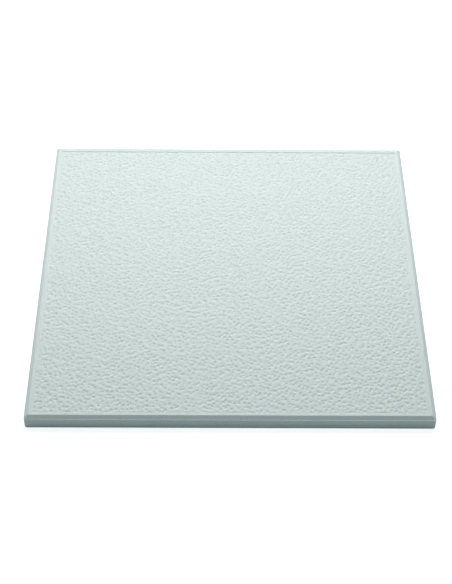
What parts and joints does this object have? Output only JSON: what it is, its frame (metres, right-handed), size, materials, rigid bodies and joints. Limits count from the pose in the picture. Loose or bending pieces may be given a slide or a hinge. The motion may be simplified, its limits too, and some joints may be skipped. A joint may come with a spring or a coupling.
{
  "type": "ceiling tile",
  "caption": "Square moulded foam ceiling tile with a plain back, upright sides, a bevelled edge, a flat rim and a sunk roughcast face.",
  "frame": {"origin": "centre of the flat back, which is glued to the ceiling", "axes": "+Z square to the back, towards the roughcast face; X and Y along the two pairs of sides"},
  "size_m": [0.5, 0.5, 0.019],
  "materials": {
    "foam": "matt moulded expanded polystyrene, cool white with a fine bead grain"
  },
  "bodies": {
    "root": {"tile": "foam"}
  },
  "joints": []
}
